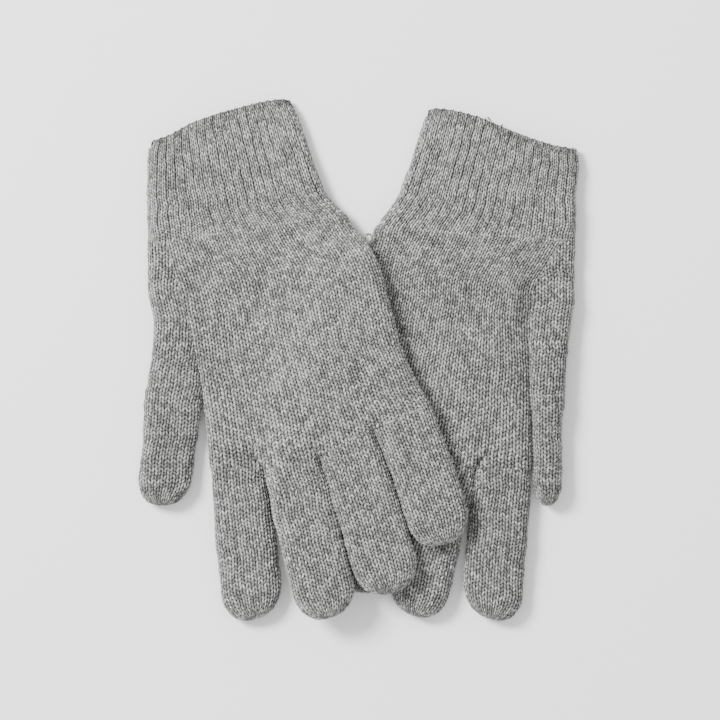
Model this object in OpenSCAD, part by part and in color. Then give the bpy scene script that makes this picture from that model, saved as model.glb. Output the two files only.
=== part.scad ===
/* [Fabric] */
// Height of one empty glove lying flat
layer_h = 10; // [9:0.5:12]
// Thickness of the knitted fabric
fabric_t = 2.2; // [1.6:0.1:2.4]
// Air between the gloves where one lies on the other
rest_gap = 0.5; // [0.4:0.1:1.5]
// Fold gap between two parts that hinge on each other
fold_gap = 0.5; // [0.4:0.1:0.8]

/* [Fingers] */
// Length of the index fingers
index_l = 70; // [60:1:72]
// Length of the middle fingers
middle_l = 79; // [70:1:80]
// Length of the ring fingers
ring_l = 76; // [66:1:78]
// Length of the little fingers
little_l = 61; // [52:1:62]
// Length of the rounded end of a finger
finger_cap = 14; // [10:1:16]

/* [Thumbs] */
// Free length of the thumbs
thumb_l = 52; // [44:1:56]
// Width of the flat thumb of the upper glove
thumb_w = 27; // [24:0.5:27.5]
// Width of the lower glove's thumb, which lies on its edge
edge_thumb_w = 15.4; // [14:0.2:15.6]
// Height of the lower glove's thumb
edge_thumb_h = 12; // [10:0.5:13]

/* [Cuffs] */
// Depth of the cast-on welt at the mouth of a cuff
welt_d = 4; // [3:0.5:6]
// How far the welt stands out beyond the ribbing
welt_out = 0.5; // [0:0.1:1]

/* [Colours] */
// Knitted wool
wool = "darkgray"; // [darkgray, gray, silver]
// Cast-on welts
wool_edge = "gray"; // [darkgray, gray, silver]

/* [Hidden] */

// Both gloves are drawn palm up with the thumb on the left and the fingers towards -Y.
// The lower glove is then mirrored in the plane x = mirror_x.
home = [0.47, 0.16, 0];     // brings the middle of the pair's box to the origin
mirror_x = 6.1;

// Knuckle frame: the fold line of the fingers runs along knuckle_u, the fingers along knuckle_n
knuckle = [-17.2, -41.1];
knuckle_a = 16.6;
knuckle_u = [cos(knuckle_a), sin(knuckle_a)];
knuckle_n = [sin(knuckle_a), -cos(knuckle_a)];

// A finger: where its root lies on the fold line, sideways run per mm, sideways bow at its tip,
// width at the root, full width, length
UPPER_FINGERS = [[-43.4, -0.18, 0.5, 24.4, 29.6, index_l], [-17.7, -0.02, -1.5, 26.4, 29, middle_l],
    [10.3, 0.04, -2, 27.4, 30, ring_l], [39.5, 0.12, -5, 28.6, 29.2, little_l]];
LOWER_FINGERS = [[-42.3, -0.165, -0.5, 23, 29.2, index_l], [-17.5, 0.02, -4, 26, 28.8, middle_l],
    [10.2, 0.04, -2.5, 27, 29.4, ring_l], [39.3, 0.04, -2.5, 26.4, 26.4, little_l]];
finger_grow = 30;           // distance from the root at which a finger has its full width

// Thumbs: the root's middle and the run of the thumb, in the glove's own directions
thumb_y = -17.5;
UPPER_THUMB = [-90, -0.08, -1, thumb_w, thumb_w - 1.5, thumb_l];
LOWER_THUMB = [-78.2, 0.01, 0, edge_thumb_w, edge_thumb_w, thumb_l];

// Outlines, as x at a height y: groove between thumb and palm, little-finger side, thumb side
UPPER_GROOVE = [[57.1, -93.3], [36, -87.5], [20, -83], [6, -80], [-7, -77], [-20, -75], [-38, -72.6],
    [-57, -70.5]];
UPPER_SIDE = [[69.7, -7.3], [53, 5.2], [47, 8.5], [30, 13.3], [14, 17.2], [0, 21.5], [-11, 27.3],
    [-25.6, 34.8]];
UPPER_THUMB_SIDE = [[56, -101.9], [31, -101.9], [20, -99.5], [6, -99.3], [-6, -101.3], [-17, -103.5]];
LOWER_GROOVE = [[57.9, -85.5], [47, -78.3], [36, -71.6], [19, -69.4], [-34, -69.5], [-56.5, -69]];
LOWER_SIDE = [[63.3, 5.2], [53, 8.5], [33, 11.4], [14, 17.2], [-5, 24.4], [-21, 31.6], [-25.6, 34.8]];
LOWER_THUMB_SIDE = [[57.5, -90.8], [26, -90.8], [12, -88.4], [0, -87], [-17, -86]];

// The cuff's two edges from its mouth to the wrist
UPPER_CUFF = [[[-101.4, 105], [-33.7, 125.2]], [[-101.9, 91], [-28.5, 111.3]],
    [[-102.1, 77.7], [-22.4, 93.5]], [[-101.9, 66], [-17, 79.1]], [[-101.9, 55.8], [-7.3, 69.7]]];
LOWER_CUFF = [[[-92.7, 101.2], [-20.3, 119.4]], [[-92.3, 90.1], [-16.4, 106.5]], [[-91, 79], [-11.6, 92.5]],
    [[-91.2, 67.1], [-6.3, 77.7]], [[-90.8, 57.5], [5.2, 63.3]]];

// Sections along the hand, as y on the groove and y on the little-finger side
UPPER_ROWS = [[57.1, 69.7], [36, 47], [20, 30], [6, 14], [-7, 0], [-19, -10], [-38, -17.5], [-57, -25.6]];
LOWER_ROWS = [[57.9, 63.3], [47, 52], [36, 42], [19, 25], [2, 8], [-18, -8], [-38, -17.5], [-56.5, -25.6]];
window_rows = [2, 4];       // the sections between which the palm is open to the thumb
gusset_gap = 0.3;           // between the gusset and the palm
gusset_rise = [32, 40];     // the y where a gusset starts to reach its end height, and over how far
lower_drop = 0.5;           // how far a gusset's outer end at the wrist lies below its fold line
upper_drop = 1.5;

arc_n = 5;                  // facets round each edge of a flattened tube
finger_flat = 4;            // points across each flat face of a finger
hand_flat = 8;              // points across each flat face of a hand or a cuff
cap_steps = [0, 28, 50, 68, 80];   // angles round a finger's end
join_w = 2.4;               // width of the join between two fingers
join_l = 6;                 // length of the join between two fingers

// The upper glove climbs onto the lower one along this ramp: where it ends, and how wide it is
RAMP_END = [[-100, -42.2], [-75, -39.4], [-53, -36.9], [-38, -32.4], [-21, -24.4], [-5, -17], [14, -10],
    [33, -2.5], [54, 3]];
RAMP_W = [[-53, 8], [-38, 14], [-21, 20]];
wrist_flat = 66;            // above this y the upper glove lies flat again
wrist_fade = 16;

function smooth(t) = let (c = min(1, max(0, t))) c * c * (3 - 2 * c);
function climb(x, y) = (layer_h + rest_gap) * smooth((wrist_flat - y) / wrist_fade)
    * smooth((x - lookup(y, RAMP_END)) / lookup(y, RAMP_W) + 1);

// Half an edge of a tube from its lower to its upper face: a round edge, or a square one round a window
ROUND = [for (i = [0:arc_n]) [sin(180 * i / arc_n), -cos(180 * i / arc_n)]];
SQUARE = [[0, -1], [1, -1], [1, -0.5], [1, 0.5], [1, 1], [0, 1]];

// Points round a flattened tube, from the bottom left over the top to the bottom right
function stadium(half, r, flat, left, right) = let (f = half - r) concat(
    [for (p = left) [-f - r * p[0], r * p[1]]],
    [for (i = [1:flat]) [-f + 2 * f * i / (flat + 1), r]],
    [for (i = [0:arc_n]) let (p = right[arc_n - i]) [f + r * p[0], r * p[1]]],
    [for (i = [1:flat]) [f - 2 * f * i / (flat + 1), -r]]);

// A section: middle, direction across, half width, height, width factor, height factor, pull of the inner
// face, and the shapes of its left and right edges
function section(l, r, h, left = ROUND, right = ROUND) =
    [(l + r) / 2, (r - l) / norm(r - l), norm(r - l) / 2, h, 1, 1, [0, 0], left, right];

function ring_points(s, inset, flat, climbs) = let (
        half = (s[2] - inset) * s[4],
        r = min(half, (s[3] / 2 - inset) * s[5]),
        c = inset > 0 ? s[0] - s[6] : s[0])
    [for (p = stadium(half, r, flat, s[7], s[8]))
        let (x = c[0] + s[1][0] * p[0], y = c[1] + s[1][1] * p[0])
        [x, y, s[3] / 2 + p[1] + (climbs ? climb(x, y) : 0)]];

// Faces of a knitted shell of n rings of m points; is_open tells where there is no fabric
function is_open(i, k, n, m, tip, win) = i < 0 || (i > n - 2 && !tip)
    || (len(win) > 0 && i >= win[0] && i < win[1] && k >= win[2] && k < win[3]);
function quad(a, b, c, d) = [[a, b, c], [a, c, d]];
function shell_faces(n, m, tip, win) = let (q = n * m) concat(
    [for (i = [0:n - 2], k = [0:m - 1]) let (j = (k + 1) % m, a = i * m, b = a + m)
        if (!is_open(i, k, n, m, tip, win))
            each concat(quad(a + k, a + j, b + j, b + k),
                quad(q + a + k, q + b + k, q + b + j, q + a + j))],
    [for (i = [0:n - 1], k = [0:m - 1]) let (j = (k + 1) % m, a = i * m,
            before = is_open(i - 1, k, n, m, tip, win), here = is_open(i, k, n, m, tip, win))
        if (before != here)
            each (here ? quad(a + k, a + j, q + a + j, q + a + k)
                : quad(a + j, a + k, q + a + k, q + a + j))],
    [for (i = [0:n - 2], k = [0:m - 1]) let (a = i * m, b = a + m,
            before = is_open(i, (k + m - 1) % m, n, m, tip, win), here = is_open(i, k, n, m, tip, win))
        if (before != here)
            each (here ? quad(b + k, a + k, q + a + k, q + b + k)
                : quad(a + k, b + k, q + b + k, q + a + k))],
    tip ? [for (k = [0:m - 1]) let (j = (k + 1) % m, a = (n - 1) * m)
        each [[a + k, a + j, 2 * q], [q + a + j, q + a + k, 2 * q + 1]]] : []);

// A knitted shell through the given sections; tips holds the two points that close its end, if any
module shell(sections, flat, climbs, tips = [], win = []) {
    outer = [for (s = sections) each ring_points(s, 0, flat, climbs)];
    inner = [for (s = sections) each ring_points(s, fabric_t, flat, climbs)];
    n = len(sections);
    m = len(outer) / n;
    polyhedron(concat(outer, inner, tips), shell_faces(n, m, len(tips) > 0, win), convexity = 6);
}

// A finger or thumb from its fold line: origin, direction across, direction along, its six values, height
module digit(o, u, n, f, h, climbs) {
    straight = f[5] - finger_cap;
    steps = concat([for (t = [0, 0.16, 0.36, 0.68]) [t * straight, 0]],
        [for (a = cap_steps) [straight + finger_cap * sin(a), a]]);
    middle = function (s) o + u * (f[0] + f[1] * s + f[2] * pow(s / f[5], 2)) + n * s;
    top = middle(f[5]);
    rise = climbs ? climb(top[0], top[1]) : 0;
    tips = [[top[0], top[1], h / 2 + rise],
        [top[0] - n[0] * fabric_t, top[1] - n[1] * fabric_t, h / 2 + rise]];
    sections = [for (s = steps) let (w = f[3] + (f[4] - f[3]) * smooth(s[0] / finger_grow))
        [middle(s[0]), u, w / 2, h, pow(cos(s[1]), 0.8), pow(cos(s[1]), 0.5), n * fabric_t * sin(s[1]),
            ROUND, ROUND]];
    shell(sections, finger_flat, climbs, tips);
}

module finger(f, climbs) { digit(knuckle, knuckle_u, knuckle_n, f, layer_h, climbs); }
module thumb(f, h) { digit([0, thumb_y], [1, 0], [0, -1], f, h, false); }

// The palm and back as one flattened tube, with a window where the thumb gusset opens into it
module hand(groove, side, rows, climbs) {
    last = len(rows) - 1;
    shell([for (i = [0:last])
        let (gap = i == 0 ? [0, -fold_gap] : i == last ? -knuckle_n * fold_gap : [0, 0],
            l = [lookup(rows[i][0], groove), rows[i][0]] + gap,
            r = [lookup(rows[i][1], side), rows[i][1]] + gap)
        section(l, r, layer_h, left = i >= window_rows[0] && i <= window_rows[1] ? SQUARE : ROUND)],
        hand_flat, climbs, win = concat(window_rows, [1, arc_n - 1]));
}

// The tapering cushion that the thumb grows out of, open towards the palm and at the thumb.
// Its outer end at the wrist lies lower by the given drop, along the cuff
module thumb_gusset(groove, thumb_side, rows, end_h, drop) {
    ys = concat([for (r = rows) if (r[0] > thumb_y) r[0] - (r == rows[0] ? fold_gap : 0)],
        [thumb_y + fold_gap]);
    first = arc_n + 1 + finger_flat;
    shell([for (i = [0:len(ys) - 1])
        let (y = ys[i],
            l = [lookup(y, thumb_side), y - (i == 0 ? drop : 0)],
            r = [lookup(y, groove) - gusset_gap, y],
            h = layer_h + (end_h - layer_h) * smooth((gusset_rise[0] - y) / gusset_rise[1]))
            section(l, r, min(h, norm(r - l)),
                right = i >= window_rows[0] && i <= window_rows[1] ? SQUARE : ROUND)],
        finger_flat, false, win = concat(window_rows, [first + 1, first + arc_n - 1]));
}

// Ribbed cuff between two of its edge stations, counted from the mouth
function cuff_at(edges, t) = let (i = min(len(edges) - 2, floor(t)), f = t - i)
    [edges[i][0] * (1 - f) + edges[i + 1][0] * f, edges[i][1] * (1 - f) + edges[i + 1][1] * f];
module cuff(edges) {
    first = (welt_d + 0.1) / norm(edges[1][0] - edges[0][0]);
    shell([for (t = [first, 1, 2, 3, 4]) let (e = cuff_at(edges, t)) section(e[0], e[1], layer_h)],
        hand_flat, false);
}
module cuff_edge(edges) {
    last = welt_d / norm(edges[1][0] - edges[0][0]);
    shell([for (t = [0, last]) let (e = cuff_at(edges, t), a = (e[1] - e[0]) / norm(e[1] - e[0]))
        section(e[0] - a * welt_out, e[1] + a * welt_out, layer_h)], hand_flat, false);
}

// Short knitted webs that tie palm to back between neighbouring fingers
module finger_joins(fingers, climbs) {
    for (i = [0:2]) {
        u = (fingers[i][0] + fingers[i][3] / 2 + fingers[i + 1][0] - fingers[i + 1][3] / 2) / 2;
        c = knuckle + knuckle_u * u - knuckle_n * (fold_gap + 1 + join_l / 2);
        rise = climbs ? climb(c[0], c[1]) : 0;
        translate([c[0], c[1], rise + fabric_t - 0.1]) rotate(knuckle_a)
            linear_extrude(layer_h - 2 * fabric_t + 0.2) {
                square([join_w, join_l - join_w], center = true);
                for (e = [-1, 1]) translate([0, e * (join_l - join_w) / 2]) circle(d = join_w, $fn = 24);
            }
    }
}

module upper_glove(shade = wool) { color(shade) translate(home) children(); }
module lower_glove(shade = wool) {
    color(shade) translate(home + [2 * mirror_x, 0, 0]) mirror([1, 0, 0]) children();
}

module lower_hand() { lower_glove() hand(LOWER_GROOVE, LOWER_SIDE, LOWER_ROWS, false); }
module lower_thumb_gusset() {
    lower_glove() thumb_gusset(LOWER_GROOVE, LOWER_THUMB_SIDE, LOWER_ROWS, edge_thumb_h, lower_drop);
}
module lower_finger_joins() { lower_glove() finger_joins(LOWER_FINGERS, false); }
module lower_cuff() { lower_glove() cuff(LOWER_CUFF); }
module lower_cuff_edge() { lower_glove(wool_edge) cuff_edge(LOWER_CUFF); }
module lower_thumb() { lower_glove() thumb(LOWER_THUMB, edge_thumb_h); }
module lower_index_finger() { lower_glove() finger(LOWER_FINGERS[0], false); }
module lower_middle_finger() { lower_glove() finger(LOWER_FINGERS[1], false); }
module lower_ring_finger() { lower_glove() finger(LOWER_FINGERS[2], false); }
module lower_little_finger() { lower_glove() finger(LOWER_FINGERS[3], false); }

module upper_hand() { upper_glove() hand(UPPER_GROOVE, UPPER_SIDE, UPPER_ROWS, true); }
module upper_thumb_gusset() {
    upper_glove() thumb_gusset(UPPER_GROOVE, UPPER_THUMB_SIDE, UPPER_ROWS, layer_h, upper_drop);
}
module upper_finger_joins() { upper_glove() finger_joins(UPPER_FINGERS, true); }
module upper_cuff() { upper_glove() cuff(UPPER_CUFF); }
module upper_cuff_edge() { upper_glove(wool_edge) cuff_edge(UPPER_CUFF); }
module upper_thumb() { upper_glove() thumb(UPPER_THUMB, layer_h); }
module upper_index_finger() { upper_glove() finger(UPPER_FINGERS[0], false); }
module upper_middle_finger() { upper_glove() finger(UPPER_FINGERS[1], true); }
module upper_ring_finger() { upper_glove() finger(UPPER_FINGERS[2], true); }
module upper_little_finger() { upper_glove() finger(UPPER_FINGERS[3], true); }

lower_hand();
lower_thumb_gusset();
lower_finger_joins();
lower_cuff();
lower_cuff_edge();
lower_thumb();
lower_index_finger();
lower_middle_finger();
lower_ring_finger();
lower_little_finger();
upper_hand();
upper_thumb_gusset();
upper_finger_joins();
upper_cuff();
upper_cuff_edge();
upper_thumb();
upper_index_finger();
upper_middle_finger();
upper_ring_finger();
upper_little_finger();
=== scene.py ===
# %% [markdown]
# # A pair of knitted gloves
#
# Two plain grey wool gloves lie flat with their palms up, and the upper one lies partly on the
# lower one. Each glove is built from the same few pieces: a ribbed cuff with a cast-on welt, a
# palm and back, a thumb gusset, a thumb and four fingers.
#
# A glove could be sculpted, or a smooth model could be given a picture of knitting. Here every
# piece is computed as a flattened knitted tube, because then the real stitches run on from piece
# to piece and show at the edges too. A tube is a grid: its rows run across the tube, one behind
# the other, and its columns run round it. First the smooth shape of the tube is computed, then
# every stitch is raised on it, and last the yarn gets its colour from the same stitch numbers.
# All lengths are millimetres until the moment a mesh is made.

import bpy
import numpy as np
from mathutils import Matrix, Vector


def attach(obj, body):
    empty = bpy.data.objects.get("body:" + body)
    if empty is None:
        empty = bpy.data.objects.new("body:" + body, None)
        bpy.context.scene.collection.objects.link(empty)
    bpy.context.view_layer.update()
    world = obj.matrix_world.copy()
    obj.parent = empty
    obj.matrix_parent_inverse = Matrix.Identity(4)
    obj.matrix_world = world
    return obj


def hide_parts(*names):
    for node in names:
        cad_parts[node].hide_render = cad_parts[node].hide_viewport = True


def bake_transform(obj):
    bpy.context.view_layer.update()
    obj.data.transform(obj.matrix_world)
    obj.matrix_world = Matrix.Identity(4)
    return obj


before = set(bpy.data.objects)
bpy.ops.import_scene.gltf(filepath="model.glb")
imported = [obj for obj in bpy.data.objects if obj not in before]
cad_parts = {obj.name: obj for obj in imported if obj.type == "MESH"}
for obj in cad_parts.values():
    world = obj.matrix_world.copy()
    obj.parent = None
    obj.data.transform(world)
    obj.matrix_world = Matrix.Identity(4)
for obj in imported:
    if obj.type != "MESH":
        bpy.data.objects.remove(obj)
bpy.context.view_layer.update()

# %% [markdown]
# ## Measures
#
# A wale is a column of stitches and a course is a row of them. A stitch of this fabric is 3 mm
# wide and a little under 2 mm long. An empty glove lies about 10 mm high, so half of that is the
# height of its middle line. The edges of a flattened tube are quarter ellipses. The grid has 8
# columns for each wale on the side that is looked at, half as many below, and 4 rows a course,
# which is just enough to draw the two legs of a stitch.
#
# The fingers stand on a slanting knuckle line. It passes through one point, and two directions
# go with it: across the fingers and along them. The lower glove is the mirror image of its own
# drawing, and the upper one climbs 10.5 mm where it lies on the lower one.

# %% Measures
MM = 0.001
WALE = 3.0
COURSE = 1.93
HALF = 5.0
EDGE = 6.5
PALM_WALES = 34
GUSSET_WALES = 3
STITCH_H = 0.75
EDGE_INSET = 0.4
RIB_H = 0.4
RIB_FILL = 0.92
PER_WALE_FRONT = 8
PER_WALE_BACK = 4
PER_COURSE = 4
STEP = COURSE / PER_COURSE
# the wale numbers of a back start here, so that its stitches differ from those of the front
BACK_WALE = 200
# how far the hidden end of a tube is drawn in where it slips inside its neighbour
TUCK = 1.2

# the knuckle line, and where the drawing of a glove and the lower one's mirror plane lie
KNUCKLE = np.array([-17.2, -41.1])
KNUCKLE_ANGLE = np.radians(16.6)
ACROSS = np.array([np.cos(KNUCKLE_ANGLE), np.sin(KNUCKLE_ANGLE)])
ALONG = np.array([np.sin(KNUCKLE_ANGLE), -np.cos(KNUCKLE_ANGLE)])
HOME = np.array([0.47, 0.16])
MIRROR_X = 6.1
# how high the upper glove climbs, and above which y it lies flat again, with a fade below it
CLIMB = 10.5
WRIST_FLAT = 66
WRIST_FADE = 16
print("stitch:", WALE, "by", COURSE, "mm; grid rows every", round(STEP, 2), "mm")

# %% [markdown]
# ## The two gloves in numbers
#
# Both gloves are described palm up with the thumb on the left and the fingers towards -Y, and the
# lower one is mirrored when its meshes are made. Outlines are given as [y, x] from the wrist
# down. A finger is [place of its root on the knuckle line, sideways run per mm, bow at its tip,
# width at the root, full width, length], and a cuff is its [left, right] points from the mouth to
# the wrist, and its mouth is [share of the way across, how far the edge bulges out]. The crease
# beside the thumb starts to deepen at `crease_top`, and a finger reaches its full width `grow` mm
# from its root. The ramp of the upper glove is given as [y, x where it ends] and [y, its width].

# %% The two gloves
UPPER = {
    "name": "upper",
    "mirrored": False,
    "groove": [[57.1, -93.3], [36, -87.5], [20, -83], [6, -80], [-7, -77], [-20, -75], [-38, -72.6],
               [-57, -70.5]],
    "side": [[69.7, -7.3], [53, 5.2], [47, 8.5], [30, 13.3], [14, 17.2], [0, 21.5], [-11, 27.3],
             [-25.6, 34.8]],
    "thumb_side": [[56, -101.9], [31, -101.9], [20, -99.5], [6, -99.3], [-6, -101.3], [-17, -103.5]],
    "rows": [[57.1, 69.7], [36, 47], [20, 30], [6, 14], [-7, 0], [-19, -10], [-38, -17.5],
             [-57, -25.6]],
    "fingers": {
        "index": [-43.5, -0.184, 0.8, 24.4, 29.2, 70],
        "middle": [-17.7, -0.02, -1.5, 27.2, 29.3, 79],
        "ring": [10.3, 0.04, -2, 28.4, 30.3, 76],
        "little": [39.5, 0.12, -5, 29.4, 29.4, 61]},
    "thumb": [-89.6, -0.09, -1, 27.8, 25.5, 52],
    "mouth": [[0, 0], [0.15, 0.4], [0.3, 3.2], [0.5, 4.0], [0.8, 3.2], [0.95, 1.5], [1, 0]],
    "thumb_height": 10,
    "crease_top": 36,
    "grow": 30,
    "cuff": [[[-101.4, 105], [-33.7, 125.2]], [[-101.9, 91], [-28.5, 111.3]],
             [[-102.1, 77.7], [-22.4, 93.5]], [[-101.9, 66], [-17, 79.1]],
             [[-101.9, 55.8], [-7.3, 69.7]]]}
LOWER = {
    "name": "lower",
    "mirrored": True,
    "groove": [[57.9, -85.5], [47, -78.3], [36, -71.6], [19, -69.4], [-34, -69.5], [-56.5, -69]],
    "side": [[63.3, 5.2], [53, 8.5], [33, 11.4], [14, 17.2], [-5, 24.4], [-21, 31.6], [-25.6, 34.8]],
    "thumb_side": [[57.5, -90.8], [26, -90.8], [12, -88.4], [0, -87], [-17, -86]],
    "rows": [[57.9, 63.3], [47, 52], [36, 42], [19, 25], [2, 8], [-18, -8], [-38, -17.5],
             [-56.5, -25.6]],
    "fingers": {
        "index": [-41.1, -0.2, -0.5, 25, 29.2, 70],
        "middle": [-16.6, 0.005, -4, 23, 28.8, 79],
        "ring": [10.2, 0.04, -2.5, 27, 29.4, 76],
        "little": [39.3, 0.04, -2.5, 26.4, 26.4, 61]},
    "thumb": [-77.9, 0.0, -0.2, 16.8, 13.6, 52],
    "mouth": [[0, 0.5], [0.1, -0.5], [0.2, -0.6], [0.35, 0.3], [0.5, 1.9], [0.65, 3.9], [0.8, 4],
              [0.93, 3.2], [1, 1.2]],
    "thumb_height": 12,
    "crease_top": 48,
    "grow": 16,
    "cuff": [[[-92.7, 101.2], [-20.3, 119.4]], [[-92.3, 90.1], [-16.4, 106.5]],
             [[-91, 79], [-11.6, 92.5]], [[-91.2, 67.1], [-6.3, 77.7]],
             [[-90.8, 57.5], [5.2, 63.3]]]}
THUMB_Y = -17.5
FINGER_CAP = 14
RAMP_END = [[-100, -42.2], [-75, -39.4], [-53, -36.9], [-38, -32.4], [-21, -24.4], [-5, -17], [14, -10],
            [33, -2.5], [54, 3]]
RAMP_WIDTH = [[-70, 7], [-50, 14], [-38, 24], [-15, 44], [60, 50]]
ROOT_LINE = [[-54.6, -4], [-31, 3], [-4.4, 4], [23.6, -0.7], [54.6, -4]]
for glove in (UPPER, LOWER):
    print(glove["name"], "glove:", {f: str(v[-1]) + " mm" for f, v in glove["fingers"].items()})

# %% [markdown]
# ## Small tools
#
# `smooth` is a soft step from 0 to 1. `quarter` is the height of a quarter ellipse at a distance
# from its foot. `lookup` reads an outline and rounds its corners by averaging it over a few
# millimetres. `noise` is a soft random surface: random numbers stand on a lattice and are joined
# by soft steps, so that neighbouring points get nearly the same value.

# %% Small tools
def smooth(t):
    """A soft step from 0 at t = 0 to 1 at t = 1."""
    c = np.clip(t, 0, 1)
    return c * c * (3 - 2 * c)


def quarter(d, width):
    """Height of a quarter ellipse, 0 at its foot and 1 from `width` on."""
    return np.sqrt(np.clip(1 - (1 - np.clip(d / width, 0, 1)) ** 2, 0, 1))


def plain_lookup(table, y):
    """The value of a table of [y, value] at y, carried on straight beyond its ends."""
    t = np.array(table, float)
    t = t[np.argsort(t[:, 0])]
    before = t[0] - (t[1] - t[0]) * 50
    after = t[-1] + (t[-1] - t[-2]) * 50
    t = np.vstack([before, t, after])
    return np.interp(y, t[:, 0], t[:, 1])


def lookup(table, y, reach=5.0):
    """The same table with its corners rounded: the mean over a few steps either side."""
    y = np.asarray(y, float)
    steps = np.linspace(-reach, reach, 7)
    weights = np.array([1, 2, 3, 4, 3, 2, 1]) / 16
    return sum(w * plain_lookup(table, y + s) for s, w in zip(steps, weights))


def noise(x, y, size, seed):
    """Soft random surface from -1 to 1 whose hills are about `size` apart."""
    lattice = np.random.RandomState(seed).uniform(-1, 1, (64, 64))
    x = np.asarray(x, float) / size
    y = np.asarray(y, float) / size
    i = np.floor(x).astype(int)
    j = np.floor(y).astype(int)
    fx = smooth(x - i)
    fy = smooth(y - j)
    near = lattice[i % 64, j % 64] * (1 - fx) + lattice[(i + 1) % 64, j % 64] * fx
    far = lattice[i % 64, (j + 1) % 64] * (1 - fx) + lattice[(i + 1) % 64, (j + 1) % 64] * fx
    return near * (1 - fy) + far * fy


def climb(glove, x, y):
    """How high the upper glove is lifted where it climbs onto the lower one."""
    if glove["mirrored"]:
        return np.zeros_like(x)
    ramp = (x - lookup(RAMP_END, y)) / np.interp(y, *np.array(RAMP_WIDTH).T) + 1
    return CLIMB * smooth((WRIST_FLAT - y) / WRIST_FADE) * smooth(ramp)


print("halfway up a soft step:", smooth(0.5), "and up a quarter ellipse:", quarter(0.5, 1).round(3))

# %% [markdown]
# ## The stitches
#
# A plain knit stitch shows two legs that lean together at the end nearer the cuff. Across a wale
# the fabric rises from the gap between wales to the legs and dips a little between them. Along a
# leg it swells and thins once per course, later at the outside of the wale than at its middle,
# which makes the slant of the legs. A rib of the cuff is a ridge of two wales, and the low wale
# between two ribs is hidden in a narrow valley.
#
# A tube of yarn for every stitch would need many times more faces. A height over the stitch
# numbers gives the same light and shade, and it can be laid on any surface.

# %% Stitch heights
def wander(wale, course):
    """The stitch numbers of an even fabric, moved a little as in real hand-worn knitting."""
    moved = wale + 0.16 * noise(wale, course, 6, 5) + 0.07 * noise(wale, course, 1.7, 6)
    return moved, course + 0.30 * noise(wale, course, 3.1, 7) + 0.16 * noise(wale, course, 1.1, 8)


def leg_shape(wale, course):
    """Height of the two legs of each stitch: 1 on top of a leg and 0 in the gaps round it."""
    out = np.abs(wale - np.floor(wale) - 0.5) * 2
    across = 1 - (2 * out - 1) ** 2
    phase = course - 0.75 * out
    swell = 1 - np.abs(2 * (phase - np.floor(phase)) - 1) ** 2.5
    return (across + 0.15 * (1 - out)) * (0.35 + 0.65 * swell)


def knit(wale, course):
    """Height of plain knit, with some stitches looser than others."""
    return leg_shape(wale, course) * (1 + 0.18 * noise(wale, course, 0.8, 9))


def rib_place(wale):
    """Number of the rib at a wale number, and the place across it from -1 to 1."""
    number = np.floor(wale / 2)
    return number, wale - 2 * number - 1


def gather(wale, share):
    """Wale numbers drawn together as in ribbing: two wales fill a rib and a dark gap is left."""
    number, across = rib_place(wale)
    moved = np.sign(across) * np.minimum(np.abs(across) / RIB_FILL, 1)
    return wale * (1 - share) + (2 * number + 1 + moved) * share


def rib_share(course):
    """How much of a row is rib: 1 in the cuff, fading to 0 just past the wrist."""
    return smooth((5 - course) / 14)


def fabric(wale, course):
    """Stitch numbers and stitch height of the fabric at even stitch numbers.

    A valley between ribs shows clearly in some places and hardly where the rib is stretched."""
    wale, course = wander(wale, course)
    share = rib_share(course)
    wale = wale + share * (0.22 * noise(wale, course, 9, 13) + 0.1 * noise(wale, course, 1.3, 14))
    shown = share * (0.62 + 0.38 * noise(wale, course, 7, 10))
    gathered = gather(wale, shown)
    _, across = rib_place(wale)
    valley = np.abs(across) ** 4 * shown
    height = RIB_H * share * (1 - valley) + STITCH_H * knit(gathered, course) * (1 - 0.7 * valley)
    return gathered, course, height


highest = fabric(*np.meshgrid(np.arange(0, 9, 0.05), np.arange(-9, 30, 0.05)))[2].max()
print("highest stitch:", round(float(highest), 2), "mm")

# %% [markdown]
# ## Sections of a tube
#
# A section runs from a left point to a right point. Its half height is the product of a quarter
# ellipse at either edge and one dip per crease. A crease is given by its distance from the left
# edge, its depth and its width: with depth 1 the front and the back of the glove meet there. The
# columns of the front are evenly spaced along its curve, and so are those of the back, so that
# the stitches keep their width where the fabric turns round the edge.

# %% Sections
def half_height(d, width, left, right, creases):
    """Share of the half height at distance d from the left edge of each section."""
    h = 1 - left * (1 - quarter(d, EDGE))
    h = h * (1 - right * (1 - quarter(width - d, EDGE)))
    for place, depth, reach in creases:
        h = h * (1 - depth * (1 - quarter(np.abs(d - place), reach)))
    return h


def columns(width, tall, left, right, count):
    """Distances from the left edge of count + 1 columns, evenly spaced along the curved front."""
    q = 0.5 - 0.5 * np.cos(np.linspace(0, np.pi, 161))
    rows = len(width)
    places = np.empty((rows, count + 1))
    length = np.empty(rows)
    for r in range(rows):
        d = q * width[r]
        h = half_height(d, width[r], left[r], right[r], []) * tall[r]
        run = np.concatenate([[0], np.cumsum(np.hypot(np.diff(d), np.diff(h)))])
        places[r] = np.interp(np.linspace(0, run[-1], count + 1), run, d)
        length[r] = run[-1]
    return places, length


def wobble(points, seed):
    """Small waves of an edge: how far it stands in or out at each row."""
    return 0.35 * noise(points[:, 1], points[:, 0], 4, seed)[:, None]


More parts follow.
